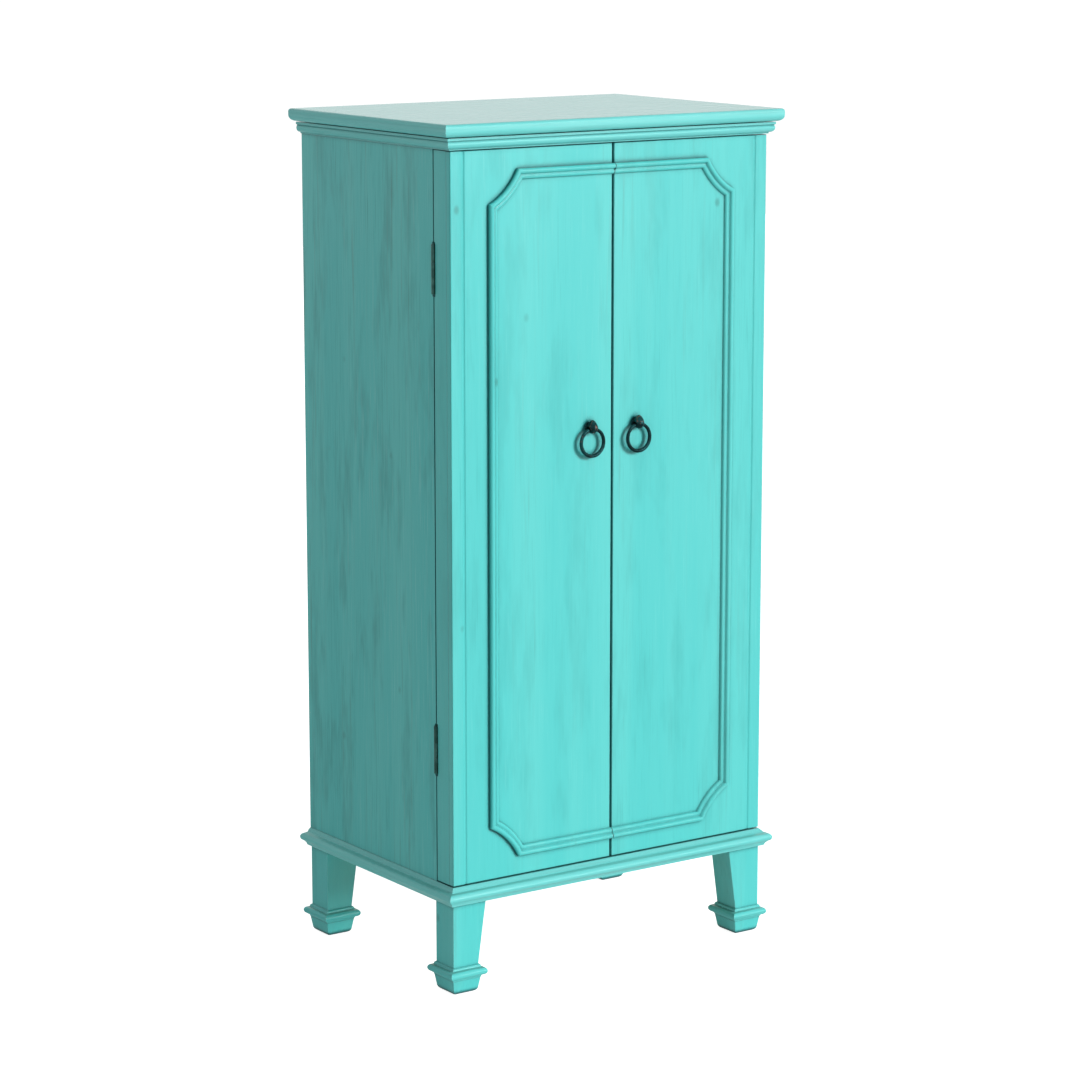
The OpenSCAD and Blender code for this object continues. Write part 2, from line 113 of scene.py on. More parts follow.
class Graph:
    """Builds the node tree of one material. A value may be a number, a colour or a socket."""

    def __init__(self, name, finish):
        self.material = bpy.data.materials.new(name)
        self.material.use_nodes = True
        self.tree = self.material.node_tree
        self.shader = self.tree.nodes["Principled BSDF"]
        for socket, value in finish.items():
            self.shader.inputs[socket].default_value = value
        coordinates = self.add("ShaderNodeTexCoord")
        self.place = coordinates.outputs["Object"]
        self.facing = coordinates.outputs["Normal"]

    def add(self, kind, **settings):
        node = self.tree.nodes.new(kind)
        for setting, value in settings.items():
            setattr(node, setting, value)
        return node

    def put(self, socket, value):
        if isinstance(value, bpy.types.NodeSocket):
            self.tree.links.new(value, socket)
        else:
            socket.default_value = value

    def math(self, operation, first, second=0.0):
        """The result is kept between 0 and 1."""
        node = self.add("ShaderNodeMath", operation=operation, use_clamp=True)
        self.put(node.inputs[0], first)
        self.put(node.inputs[1], second)
        return node.outputs[0]

    def vector(self, operation, first, second, output="Vector"):
        node = self.add("ShaderNodeVectorMath", operation=operation)
        self.put(node.inputs[0], first)
        self.put(node.inputs[1], second)
        return node.outputs[output]

    def fade(self, value, start, end, low=0.0, high=1.0):
        """low where value is at start or before, and high where it is at end or past it."""
        node = self.add("ShaderNodeMapRange", interpolation_type="SMOOTHSTEP")
        self.put(node.inputs["Value"], value)
        for socket, number in zip(("From Min", "From Max", "To Min", "To Max"),
                                  (start, end, low, high)):
            node.inputs[socket].default_value = number
        return node.outputs["Result"]

    def mix(self, share, first, second):
        node = self.add("ShaderNodeMix", data_type="RGBA")
        self.put(node.inputs[0], share)
        self.put(node.inputs[6], first)
        self.put(node.inputs[7], second)
        return node.outputs[2]

    def noise(self, place, scale, detail, roughness):
        node = self.add("ShaderNodeTexNoise")
        self.put(node.inputs["Vector"], place)
        node.inputs["Scale"].default_value = scale
        node.inputs["Detail"].default_value = detail
        node.inputs["Roughness"].default_value = roughness
        return node.outputs[0]

    def cells(self, place, scale):
        """Distance to the nearest of scattered points, and a random number for each point."""
        node = self.add("ShaderNodeTexVoronoi")
        self.put(node.inputs["Vector"], place)
        node.inputs["Scale"].default_value = scale
        split = self.add("ShaderNodeSeparateColor")
        self.put(split.inputs[0], node.outputs["Color"])
        return node.outputs["Distance"], split.outputs[0]

    def openness(self, reach):
        """1 in the open, and less within reach of another surface."""
        node = self.add("ShaderNodeAmbientOcclusion", samples=6)
        node.inputs["Distance"].default_value = reach
        return node.outputs["AO"]

    def edges(self, radius):
        """0 on flat and gently curved surface, and up to 1 along edges and creases."""
        rounded = self.add("ShaderNodeBevel", samples=4)
        rounded.inputs["Radius"].default_value = radius
        true = self.add("ShaderNodeNewGeometry").outputs["Normal"]
        alike = self.vector("DOT_PRODUCT", rounded.outputs[0], true, "Value")
        return self.fade(alike, 0.985, 0.85)

    def bump(self, height, distance, strength):
        node = self.add("ShaderNodeBump")
        self.put(node.inputs["Height"], height)
        node.inputs["Distance"].default_value = distance
        node.inputs["Strength"].default_value = strength
        self.put(self.shader.inputs["Normal"], node.outputs[0])

    def colour(self, value):
        self.put(self.shader.inputs["Base Color"], value)

    def roughness(self, value):
        self.put(self.shader.inputs["Roughness"], value)

    def grain(self, upright):
        """Coordinates for wood grain, drawn out along Z where upright. Otherwise they are drawn
        out along X, and along Y on the faces that look sideways."""
        fine = 40.0         # how much finer the grain is across than along
        if upright:
            return self.vector("MULTIPLY", self.place, (fine, fine, 1.0))
        split = self.add("ShaderNodeSeparateXYZ")
        self.put(split.inputs[0], self.facing)
        sideways = self.math("GREATER_THAN", self.math("ABSOLUTE", split.outputs[0]), 0.7)
        stretch = self.mix(sideways, (1.0, fine, fine, 1.0), (fine, 1.0, fine, 1.0))
        return self.vector("MULTIPLY", self.place, stretch)


# ---- Materials ----

def worn_paint(g, grain, fine, middle, wear, pale):
    """Turquoise with streaks, smudges and worn spots along the grain. fine and middle are noises
    along it."""
    patch = g.noise(g.vector("MULTIPLY", grain, (0.35, 0.35, 2.4)), 1.1, 3.0, 0.5)
    soft = g.noise(grain, 0.55, 3.0, 0.5)
    smudge = g.noise(g.vector("MULTIPLY", grain, (0.125, 0.125, 1.0)), 6.0, 4.0, 0.6)

    base = g.mix(g.fade(soft, 0.35, 0.65), PAINT, PAINT_PALE)
    # On the trims, pale lightens the surface towards rubbed paint: wear and a painted sheen.
    if pale:
        base = g.mix(g.fade(middle, 0.35, 0.65, 0.6 * pale, pale), base, PAINT_RUBBED_AND_SHEEN)
    base = g.mix(g.fade(smudge, 0.48, 0.7, 0.0, 0.36 * wear), base, PAINT_DEEP)
    streak = g.math("MULTIPLY", g.fade(fine, 0.5, 0.76), g.fade(patch, 0.4, 0.62, 0.12, 1.0))
    base = g.mix(g.math("MULTIPLY", streak, 0.44 * wear), base, PAINT_DEEP)
    pale_streak = g.math("MULTIPLY", g.fade(fine, 0.46, 0.28), g.fade(patch, 0.6, 0.4))
    base = g.mix(g.math("MULTIPLY", pale_streak, 0.25 * wear), base, PAINT_RUBBED_AND_SHEEN)
    rubbed_through = g.math("MULTIPLY", g.fade(middle, 0.54, 0.74), g.fade(soft, 0.42, 0.66))
    return g.mix(g.math("MULTIPLY", rubbed_through, 0.5 * wear), base, GREY_BROWN)


def with_knots(g, base):
    """A few small dark knots, longer than they are wide."""
    distance, chance = g.cells(g.vector("MULTIPLY", g.place, (1.0, 1.0, 0.7)), 19.0)
    knot = g.math("MULTIPLY", g.fade(distance, 0.1, 0.02), g.fade(chance, 0.55, 0.8))
    return g.mix(g.math("MULTIPLY", knot, 0.5), base, KNOT)


def with_edges_and_creases(g, base, fine, glaze_and_shade_depth):
    """Pale rubbed edges, and dark glazing with painted shade in the creases."""
    open_air = g.openness(8 * MM)
    # Creases darken where other surfaces are near: dark glazing and painted shade.
    glaze_and_shade_mask = g.fade(open_air, 0.9, 0.58)
    worn = g.math("MULTIPLY", g.edges(1.3 * MM), g.fade(open_air, 0.75, 0.97))
    worn = g.math("MULTIPLY", worn, g.fade(fine, 0.3, 0.6, 0.35, 0.8))
    base = g.mix(worn, base, PAINT_RUBBED_AND_SHEEN)
    return g.mix(g.math("MULTIPLY", glaze_and_shade_mask, glaze_and_shade_depth), base, GLAZE_AND_SHADE)


def painted(name, upright, wear, pale=0.0, glaze_and_shade_depth=0.9):
    """Satin turquoise paint over wood, whose level tops are greyer and smoother. wear is how
    strongly the streaks show, pale how far the whole surface is lightened, as rubbed paint and
    as a painted sheen, and glaze how dark the creases are, with glazing and painted shade."""
    g = Graph(name, {"Specular IOR Level": 0.35, "Coat Weight": 0.25, "Coat Roughness": 0.16})
    grain = g.grain(upright)
    fine = g.noise(grain, 14.0, 6.0, 0.62)
    middle = g.noise(grain, 4.2, 4.0, 0.55)
    base = worn_paint(g, grain, fine, middle, wear, pale)
    if upright:
        base = with_knots(g, base)

    split = g.add("ShaderNodeSeparateXYZ")
    g.put(split.inputs[0], g.facing)
    # Faces that look up get a greyer colour, with darker streaks.
    level = g.fade(split.outputs[2], 0.9, 0.99)
    base = g.mix(level, base, g.mix(g.fade(fine, 0.4, 0.7, 0.0, 0.3), PAINT_UPWARD_GREY, PAINT_DEEP))
    g.colour(with_edges_and_creases(g, base, fine, glaze_and_shade_depth))

    rough = g.fade(fine, 0.3, 0.7, 0.38, 0.5)
    g.roughness(g.math("SUBTRACT", rough, g.math("MULTIPLY", level, 0.16)))
    height = g.math("ADD", g.math("MULTIPLY", fine, 0.55), g.math("MULTIPLY", middle, 0.4))
    g.bump(height, 0.3 * MM, 0.35)
    return g.material


def bare_wood():
    g = Graph("bare_wood", {"Specular IOR Level": 0.35})
    grain = g.grain(False)
    rings = g.noise(grain, 2.6, 5.0, 0.6)
    pores = g.noise(grain, 26.0, 3.0, 0.6)
    base = g.mix(g.fade(rings, 0.38, 0.64), WOOD, WOOD_DARK)
    base = g.mix(g.fade(pores, 0.56, 0.78, 0.0, 0.5), base, WOOD_DARK)
    # Painted shade: the wood darkens where other surfaces are near, in creases and corners.
    g.colour(g.mix(g.fade(g.openness(8 * MM), 0.8, 0.4, 0.0, 0.4), base, WOOD_PAINTED_SHADE))
    g.roughness(g.fade(pores, 0.3, 0.7, 0.55, 0.72))
    g.bump(pores, 0.25 * MM, 0.4)
    return g.material


def velvet():
    g = Graph("velvet", {"Sheen Weight": 0.9, "Sheen Roughness": 0.35,
                         "Specular IOR Level": 0.2, "Roughness": 0.95})
    nap = g.noise(g.place, 38.0, 3.0, 0.5)
    pile = g.noise(g.place, 2600.0, 2.0, 0.6)
    base = g.mix(g.fade(nap, 0.3, 0.7), VELVET, VELVET_SHADE)
    base = g.mix(g.fade(pile, 0.4, 0.7, 0.0, 0.45), base, VELVET_PILE)
    # Painted shade: the velvet darkens where other surfaces are near, in corners and along walls.
    g.colour(g.mix(g.fade(g.openness(9 * MM), 0.85, 0.4, 0.0, 0.5), base, VELVET_PAINTED_SHADE))
    g.bump(pile, 0.3 * MM, 0.6)
    return g.material


def bronze(name, light, dark, rubbed):
    """Cast bronze, light in some clouds and dark in others, with spots of copper where rubbed is
    high."""
    g = Graph(name, {"Metallic": 0.85})
    cast = g.noise(g.place, 420.0, 4.0, 0.6)
    cloud = g.noise(g.place, 90.0, 3.0, 0.5)
    base = g.mix(g.fade(cloud, 0.35, 0.65), light, dark)
    spots = g.noise(g.place, 260.0, 3.0, 0.5)
    bare = g.fade(spots, 0.68 - 0.2 * rubbed, 0.78 - 0.2 * rubbed, 0.0, 0.75)
    g.colour(g.mix(bare, base, COPPER))
    g.roughness(g.fade(cast, 0.3, 0.7, 0.24, 0.4))
    g.bump(cast, 0.1 * MM, 0.4)
    return g.material


def bright_steel():
    g = Graph("bright_steel", {"Metallic": 1.0})
    brushed = g.noise(g.vector("MULTIPLY", g.place, (1.0, 1.0, 30.0)), 90.0, 3.0, 0.6)
    g.colour(g.mix(g.fade(brushed, 0.35, 0.65), STEEL, STEEL_DARK))
    g.roughness(g.fade(brushed, 0.3, 0.7, 0.22, 0.4))
    g.bump(brushed, 0.05 * MM, 0.4)
    return g.material


def mirror_glass():
    g = Graph("mirror_glass", {"Metallic": 1.0, "Roughness": 0.02})
    haze = g.noise(g.place, 14.0, 3.0, 0.5)
    base = g.mix(g.fade(haze, 0.35, 0.65), SILVER, SILVER_HAZE)
    # Painted shade: the mirror darkens where other surfaces are near, along its frame.
    g.colour(g.mix(g.fade(g.openness(5 * MM), 0.8, 0.5, 0.0, 0.5), base, SILVER_PAINTED_SHADE))
    return g.material


def rubber():
    g = Graph("bumper", {"Specular IOR Level": 0.3})
    dust = g.noise(g.place, 700.0, 3.0, 0.6)
    g.colour(g.mix(g.fade(dust, 0.4, 0.7), RUBBER, RUBBER_DUSTY))
    g.roughness(g.fade(dust, 0.3, 0.7, 0.6, 0.8))
    g.bump(dust, 0.05 * MM, 0.3)
    return g.material


LOOKS = {
    "bare_wood": bare_wood(),
    "velvet": velvet(),
    "dark_bronze": bronze("dark_bronze", BRONZE, BRONZE_DARK, rubbed=0.0),
    "bright_steel": bright_steel(),
    "mirror_glass": mirror_glass(),
    "bumper": rubber(),
}
HINGE_BRONZE = bronze("hinge_bronze", PATINA, PATINA_DARK, rubbed=0.1)
KNOB_BRONZE = bronze("knob_bronze", BRONZE, BRONZE_DARK, rubbed=0.8)
PAINT_WORN = painted("paint_upright_worn", upright=True, wear=1.0)
PAINT_UPRIGHT = painted("paint_upright", upright=True, wear=0.42)
PAINT_LEVEL = painted("paint_level", upright=False, wear=0.4)
PAINT_TRIM = painted("paint_trim", upright=False, wear=0.4, pale=0.35, glaze_and_shade_depth=0.65)


# ---- CAD nodes that stay ----

# These nodes get paint lightened by pale: rubbed paint and a painted sheen.
TRIM = ("lid_board", "cornice", "base_moulding")


def look_of(node, slot):
    """The material that a CAD node shows in place of its slot's plain one."""
    if "hinge" in node:
        return HINGE_BRONZE
    if slot != "painted_wood":
        return LOOKS[slot]
    if node.endswith(("side_panel", "back_panel")):
        return PAINT_WORN
    if node.endswith(("_leg", "door_panel", "door_frame", "door_moulding")):
        return PAINT_UPRIGHT
    return PAINT_TRIM if node in TRIM else PAINT_LEVEL


def soften(obj, width):
    """Rounds a CAD node's edges and shades its curves smoothly, with modifiers only."""
    mesh = obj.data
    for name in ("custom_normal", "sharp_edge", "sharp_face"):
        if name in mesh.attributes:
            mesh.attributes.remove(mesh.attributes[name])
    mesh.polygons.foreach_set("use_smooth", [True] * len(mesh.polygons))
    weld = obj.modifiers.new("weld", "WELD")
    weld.merge_threshold = 0.001 * MM
    bevel = obj.modifiers.new("bevel", "BEVEL")
    bevel.width = width
    bevel.segments = 2
    bevel.angle_limit = math.radians(32)
    obj.modifiers.new("normals", "WEIGHTED_NORMAL")


def edge_width(node, slot):
    """How wide a CAD node's rounded edges are."""
    if node.endswith("moulding") or node in ("cornice", "leg_collars"):
        return 0.3 * MM
    if slot == "painted_wood":
        return 0.9 * MM
    if slot == "bare_wood":
        return 0.6 * MM
    return 0.2 * MM


for node_name, node in NODES.items():
    slot_name = node.material_slots[0].name
    soften(node, edge_width(node_name, slot_name))
    for material_slot in node.material_slots:
        material_slot.material = look_of(node_name, slot_name)


# ---- Mesh tools ----

SHARP = 35      # the least angle in degrees at which an edge of a hard piece stays sharp
SOFT = 60       # the same for velvet


def box_of(node):
    """A CAD node's lowest corner, its highest one and its middle."""
    low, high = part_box(node)
    return low, high, (low + high) / 2


def turned_to(direction):
    """Turns local Z to that direction."""
    return Vector(direction).to_track_quat("Z", "Y").to_matrix().to_4x4()


def bridge(bm, rings, closed_rings=True):
    """Faces between neighbouring rings of vertices, which all have as many points."""
    count = len(rings[0])
    last = count if closed_rings else count - 1
    for first, second in zip(rings, rings[1:]):
        for i in range(last):
            j = (i + 1) % count
            bm.faces.new((first[i], first[j], second[j], second[i]))


def cap(bm, ring, tip):
    """Triangles from a ring of vertices to the one at the tip."""
    for i, vertex in enumerate(ring):
        bm.faces.new((vertex, ring[(i + 1) % len(ring)], tip))


def lathe(bm, profile, place, direction, steps):
    """Adds a turned solid at place. profile is (radius, height) from the bottom to the top, and
    its radius is 0 at both ends."""
    matrix = Matrix.Translation(place) @ turned_to(direction)
    rings = []
    for radius, height in profile[1:-1]:
        rings.append([bm.verts.new(matrix @ Vector((
            radius * math.cos(2 * math.pi * i / steps),
            radius * math.sin(2 * math.pi * i / steps), height))) for i in range(steps)])
    bridge(bm, rings)
    cap(bm, rings[0], bm.verts.new(matrix @ Vector((0, 0, profile[0][1]))))
    cap(bm, rings[-1], bm.verts.new(matrix @ Vector((0, 0, profile[-1][1]))))


def sweep(bm, points, radius_at, steps, closed=False):
    """Adds a round bar through the points. radius_at gives its radius at a share of its way."""
    count = len(points)
    rings = []
    across = None
    for i, point in enumerate(points):
        if closed:
            ahead = (points[(i + 1) % count] - points[i - 1]).normalized()
        else:
            ahead = (points[min(i + 1, count - 1)] - points[max(i - 1, 0)]).normalized()
        if across is None:
            across = ahead.orthogonal().normalized()
        across = (across - ahead * across.dot(ahead)).normalized()
        other = ahead.cross(across)
        radius = radius_at(i / count if closed else i / (count - 1))
        rings.append([bm.verts.new(point + radius * (
            across * math.cos(2 * math.pi * k / steps) + other * math.sin(2 * math.pi * k / steps)))
            for k in range(steps)])
    bridge(bm, rings + rings[:1] if closed else rings)
    if not closed:
        bm.faces.new(rings[0])
        bm.faces.new(rings[-1])


def arc(middle, radius, start, end, steps):
    """Points (a, b) on an arc, with its angles in degrees."""
    return [(middle[0] + radius * math.cos(math.radians(start + (end - start) * i / steps)),
             middle[1] + radius * math.sin(math.radians(start + (end - start) * i / steps)))
            for i in range(steps + 1)]


def make_piece(name, bm, slot, body, replaces=(), sharp=SHARP, look=None):
    """Makes an object of the mesh, riding on its body, with its slot's material or look."""
    bmesh.ops.recalc_face_normals(bm, faces=bm.faces)
    mesh = bpy.data.meshes.new(name)
    bm.to_mesh(mesh)
    bm.free()
    mesh.shade_smooth()
    mesh.set_sharp_from_angle(angle=math.radians(sharp))
    mesh.materials.append(look or LOOKS[slot])
    obj = bpy.data.objects.new(name, mesh)
    bpy.context.scene.collection.objects.link(obj)
    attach(obj, body)
    if replaces:
        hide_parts(*replaces)
    return obj


def bore(obj, bm):
    """Cuts the mesh out of obj, which keeps the result as its own mesh."""
    mesh = bpy.data.meshes.new("cutter")
    bm.to_mesh(mesh)
    bm.free()
    cutter = bpy.data.objects.new("cutter", mesh)
    bpy.context.scene.collection.objects.link(cutter)
    cut = obj.modifiers.new("cut", "BOOLEAN")
    cut.object = cutter
    cut.operation = "DIFFERENCE"
    bpy.context.view_layer.update()
    shape = bpy.data.meshes.new_from_object(
        obj.evaluated_get(bpy.context.evaluated_depsgraph_get()))
    obj.modifiers.remove(cut)
    obj.data = shape
    shape.shade_smooth()
    shape.set_sharp_from_angle(angle=math.radians(SHARP))
    bpy.data.objects.remove(cutter)


# ---- Ring pulls ----

def pull_ring(side):
    """A cast ring, a little heavier at its bottom."""
    low, high, middle = box_of(f"{side}_pull_ring")
    wire = (high.y - low.y) / 2
    radius = (high.x - low.x) / 2 - wire
    steps = 72
    points = [middle + Vector((radius * math.sin(2 * math.pi * i / steps), 0,
                               radius * math.cos(2 * math.pi * i / steps)))
              for i in range(steps)]
    bm = bmesh.new()
    sweep(bm, points, lambda share: wire * (0.95 - 0.05 * math.cos(2 * math.pi * share)),
          14, closed=True)
    make_piece(f"{side}_ring", bm, "dark_bronze", f"{side}_pull", [f"{side}_pull_ring"])


def pull_rose(side, foot):
    """A stepped rose with a circle of beads, and a short neck. foot is its middle on the door,
    and the profile is in mm."""
    profile = [(0, 0), (6.0, 0), (6.3, 0.5), (6.0, 1.1), (5.2, 1.2), (4.9, 1.7), (4.3, 1.9),
               (3.4, 2.2), (3.2, 4.5), (0, 4.5)]
    beads = 16
    bead_circle = 5.65 * MM
    bead_height = 1.15 * MM
    bead_radius = 0.75 * MM
    bm = bmesh.new()
    lathe(bm, [(r * MM, h * MM) for r, h in profile], foot, (0, -1, 0), 40)
    for i in range(beads):
        turn = 2 * math.pi * i / beads
        bead = foot + Vector((bead_circle * math.cos(turn), -bead_height,
                              bead_circle * math.sin(turn)))
        bmesh.ops.create_uvsphere(bm, u_segments=8, v_segments=6, radius=bead_radius,
                                  matrix=Matrix.Translation(bead))
    make_piece(f"{side}_pull_rose", bm, "dark_bronze", f"{side}_door", [f"{side}_pull_post"])


def pull_eye(side, centre, bore_z):
    """A ball drawn up to an egg, and bored from side to side for the ring."""
    radius = 7 * MM
    bore_radius = 3.4 * MM
    bore_length = 30 * MM
    bm = bmesh.new()
    bmesh.ops.create_uvsphere(bm, u_segments=48, v_segments=32, radius=radius,
                              matrix=Matrix.Identity(4))
    for vertex in bm.verts:
        above = max(0.0, vertex.co.z / radius)
        vertex.co.x *= 0.9 - 0.22 * above ** 2
        vertex.co.z *= 1.0 + 0.3 * above
        vertex.co += centre
    eye = make_piece(f"{side}_pull_eye", bm, "dark_bronze", f"{side}_door", look=KNOB_BRONZE)
    bm = bmesh.new()
    matrix = Matrix.Translation((centre.x, centre.y, bore_z)) @ turned_to((1, 0, 0))
    bmesh.ops.create_cone(bm, cap_ends=True, segments=40, radius1=bore_radius,
                          radius2=bore_radius, depth=bore_length, matrix=matrix)
    bore(eye, bm)


def pull_knob(side):
    """The knob that holds the ring stands where the CAD post does, in line with the ring."""
    post_high, post_middle = box_of(f"{side}_pull_post")[1:]
    ring_low, ring_high, ring_middle = box_of(f"{side}_pull_ring")
    centre = Vector((ring_middle.x, ring_middle.y, post_middle.z))
    pull_rose(side, Vector((centre.x, post_high.y, centre.z)))
    pull_eye(side, centre, ring_high.z - (ring_high.y - ring_low.y) / 2)


for side_name in SIDES:
    pull_ring(side_name)
    pull_knob(side_name)


# ---- Drawer knobs ----

def drawer_knobs(drawer):
    """Two turned mushroom knobs with a stepped foot and a ringed face, in the room of the CAD
    knobs."""
    low, high, middle = box_of(f"{drawer}_knobs")
    radius = (high.z - low.z) / 2
    reach = high.y - low.y
    profile = [(0, 0), (6.0, 0), (6.2, 0.6), (5.8, 1.3), (4.6, 1.7), (4.0, 2.6), (3.4, 4.5),
               (3.4, 7.0), (4.2, 8.6)]
    profile += arc((5.4, 13.2), 4.6, -62, 30, 8)
    profile += [(8.6, 16.9), (7.6, 17.9), (7.2, 17.7), (6.8, 18.1), (5.2, 18.9), (2.6, 19.4),
                (0, 19.6)]
    widest = max(r for r, h in profile)
    longest = profile[-1][1]
    fitted = [(r * radius / widest, h * reach / longest) for r, h in profile]
    bm = bmesh.new()
    for x in (low.x + radius, high.x - radius):
        lathe(bm, fitted, Vector((x, high.y, middle.z)), (0, -1, 0), 40)
    make_piece(f"{drawer}_turned_knobs", bm, "dark_bronze", drawer, [f"{drawer}_knobs"])


for drawer_name in DRAWERS:
    drawer_knobs(drawer_name)


# ---- Hooks ----

def necklace_hooks(side):
    """Cup hooks: a domed flange on the rail, and a wire that dips, turns up and ends in a ball."""
    low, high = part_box(f"{side}_hooks")
    rail_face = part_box(f"{side}_hook_rail")[1].y
    count = 6
    flange = 3.2 * MM
    stem = 1.5 * MM
    wire = 1.25 * MM
    ball = 1.9 * MM
    bend = 4.6 * MM
    pitch = (high.x - low.x - 2 * flange) / (count - 1)
    stem_z = low.z + flange
    dome = [(0, 0), (flange, 0), (flange * 1.02, 0.3 * MM), (flange * 0.75, 0.9 * MM),
            (stem, 1.3 * MM), (0, 1.3 * MM)]
    bm = bmesh.new()
    for i in range(count):
        root = Vector((low.x + flange + i * pitch, rail_face, stem_z))
        lathe(bm, dome, root, (0, 1, 0), 24)
        reach = high.y - root.y - ball
        turn = [root + Vector((0, 0.5 * MM, 0)), root + Vector((0, 0.25 * reach, 0))]
        turn += [root + Vector((0, y, z)) for y, z in
                 arc((reach - bend, bend), bend, -90, 0, 8)]
        turn.append(root + Vector((0, reach, high.z - stem_z - ball)))
        sweep(bm, turn, lambda share: wire, 12)
        bmesh.ops.create_uvsphere(bm, u_segments=16, v_segments=10, radius=ball,
                                  matrix=Matrix.Translation(turn[-1]))
    make_piece(f"{side}_cup_hooks", bm, "dark_bronze", f"{side}_door", [f"{side}_hooks"])


for side_name in SIDES:
    necklace_hooks(side_name)


# ---- Screws ----

def screw(bm, place, outward, along, radius, dome):
    """A countersunk screw head with a cross recess. along is one of the cross's directions."""
    outward = Vector(outward)
    along = Vector(along)
    other = outward.cross(along)
    steps = 32
    turns = [2 * math.pi * (i + 0.5) / steps for i in range(steps)]

    def circle(reach_at, height):
        ring = []
        for turn in turns:
            spoke = along * math.cos(turn) + other * math.sin(turn)
            ring.append(bm.verts.new(place + spoke * radius * reach_at(turn)
                                     + outward * dome * height))
        return ring

    def cross(turn):
        in_slot = max(abs(math.cos(turn)), abs(math.sin(turn))) > 0.93
        return 0.55 if in_slot else 0.2

    rings = [circle(lambda turn: share, height)
             for share, height in ((1.0, -0.25), (1.0, 0.2), (0.86, 0.75), (0.62, 1.0))]
    rings.append(circle(cross, 0.95))
    narrow = 0.25           # how wide the recess is at its bottom, as a share of its top
    depth = 0.35
    sunk = [bm.verts.new(vertex.co * narrow + (place * (1 - narrow)) - outward * radius * depth)
            for vertex in rings[-1]]
    rings.append(sunk)
    bridge(bm, rings)
    bm.faces.new(sunk)
    bm.faces.new(rings[0])


def leaf_screws(name, body, leaves, outward, dome):
    """Three screws in each hinge leaf. leaves holds both ends of each leaf's middle line."""
    radius = 2 * MM
    bm = bmesh.new()
    for first, last in leaves:
        way = last - first
        for share in (0.16, 0.5, 0.84):
            screw(bm, first + way * share, outward, way.normalized(), radius, dome)
    make_piece(name, bm, "dark_bronze", body, look=HINGE_BRONZE)


LEAF_LENGTH = 56 * MM
LEAF_THICKNESS = 0.9 * MM
FLUSH = 0.08 * MM       # how far a countersunk head stands out of its leaf


def door_hinge_screws():
    middle_line = 9.4 * MM  # how far a leaf's middle line lies from the outer end of its box
    behind = 0.1 * MM       # how far a leaf's face lies behind the middle of its box
    for node, name, body, outward in (
            ("cabinet_hinge_leaves", "cabinet_hinge_screws", "cabinet", (0, -1, 0)),
            ("left_hinge_leaves", "left_door_screws", "left_door", (0, 1, 0)),
            ("right_hinge_leaves", "right_door_screws", "right_door", (0, 1, 0))):
        low, high, middle = box_of(node)
        columns = [x for x, used in ((low.x + middle_line, low.x < 0),
                                     (high.x - middle_line, high.x > 0)) if used]
        face = middle.y + outward[1] * -behind
        leaves = [(Vector((x, face, z)), Vector((x, face, z + LEAF_LENGTH)))
                  for x in columns for z in (low.z, high.z - LEAF_LENGTH)]
        leaf_screws(name, body, leaves, outward, FLUSH)


def lid_hinge_screws():
    middle_line = 7.5 * MM
    domed = 0.5 * MM
    low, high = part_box("lid_hinge_cabinet_leaves")
    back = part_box("back_panel")[1].y + LEAF_THICKNESS
    z = low.z + middle_line
    leaves = [(Vector((x, back, z)), Vector((x + LEAF_LENGTH, back, z)))
              for x in (low.x, high.x - LEAF_LENGTH)]
    leaf_screws("lid_hinge_cabinet_screws", "cabinet", leaves, (0, 1, 0), domed)

    low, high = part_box("lid_hinge_leaves")
    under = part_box("lid_board")[0].z - LEAF_THICKNESS
    y = low.y + middle_line
    leaves = [(Vector((x, y, under)), Vector((x + LEAF_LENGTH, y, under)))
              for x in (low.x, high.x - LEAF_LENGTH)]
    leaf_screws("lid_hinge_screws", "lid", leaves, (0, 0, -1), FLUSH)


door_hinge_screws()
lid_hinge_screws()


# ---- Ring rolls ----

def swell(obj, pinned, frames, looseness, most):
    """Blows a closed mesh up as cloth that is too large for it by looseness, and keeps the
    result. The pinned vertices stay, and no other one moves further than most."""
    group = obj.vertex_groups.new(name="pinned")
    group.add(pinned, 1.0, "ADD")
    cloth = obj.modifiers.new("cloth", "CLOTH")
    cloth.settings.vertex_group_mass = group.name
    cloth.settings.use_pressure = True
    cloth.settings.uniform_pressure_force = 4.0
    cloth.settings.shrink_min = -looseness
    cloth.settings.effector_weights.gravity = 0.0
    cloth.point_cache.frame_end = frames
    for frame_number in range(1, frames + 1):
        bpy.context.scene.frame_set(frame_number)
    swollen = bpy.data.meshes.new_from_object(
        obj.evaluated_get(bpy.context.evaluated_depsgraph_get()))
    obj.modifiers.remove(cloth)
    obj.vertex_groups.remove(group)
    for vertex, moved in zip(obj.data.vertices, swollen.vertices):
        move = moved.co - vertex.co
        vertex.co += move * min(1.0, most / max(move.length, 1e-9))
    bpy.data.meshes.remove(swollen)
    bpy.context.scene.frame_set(1)


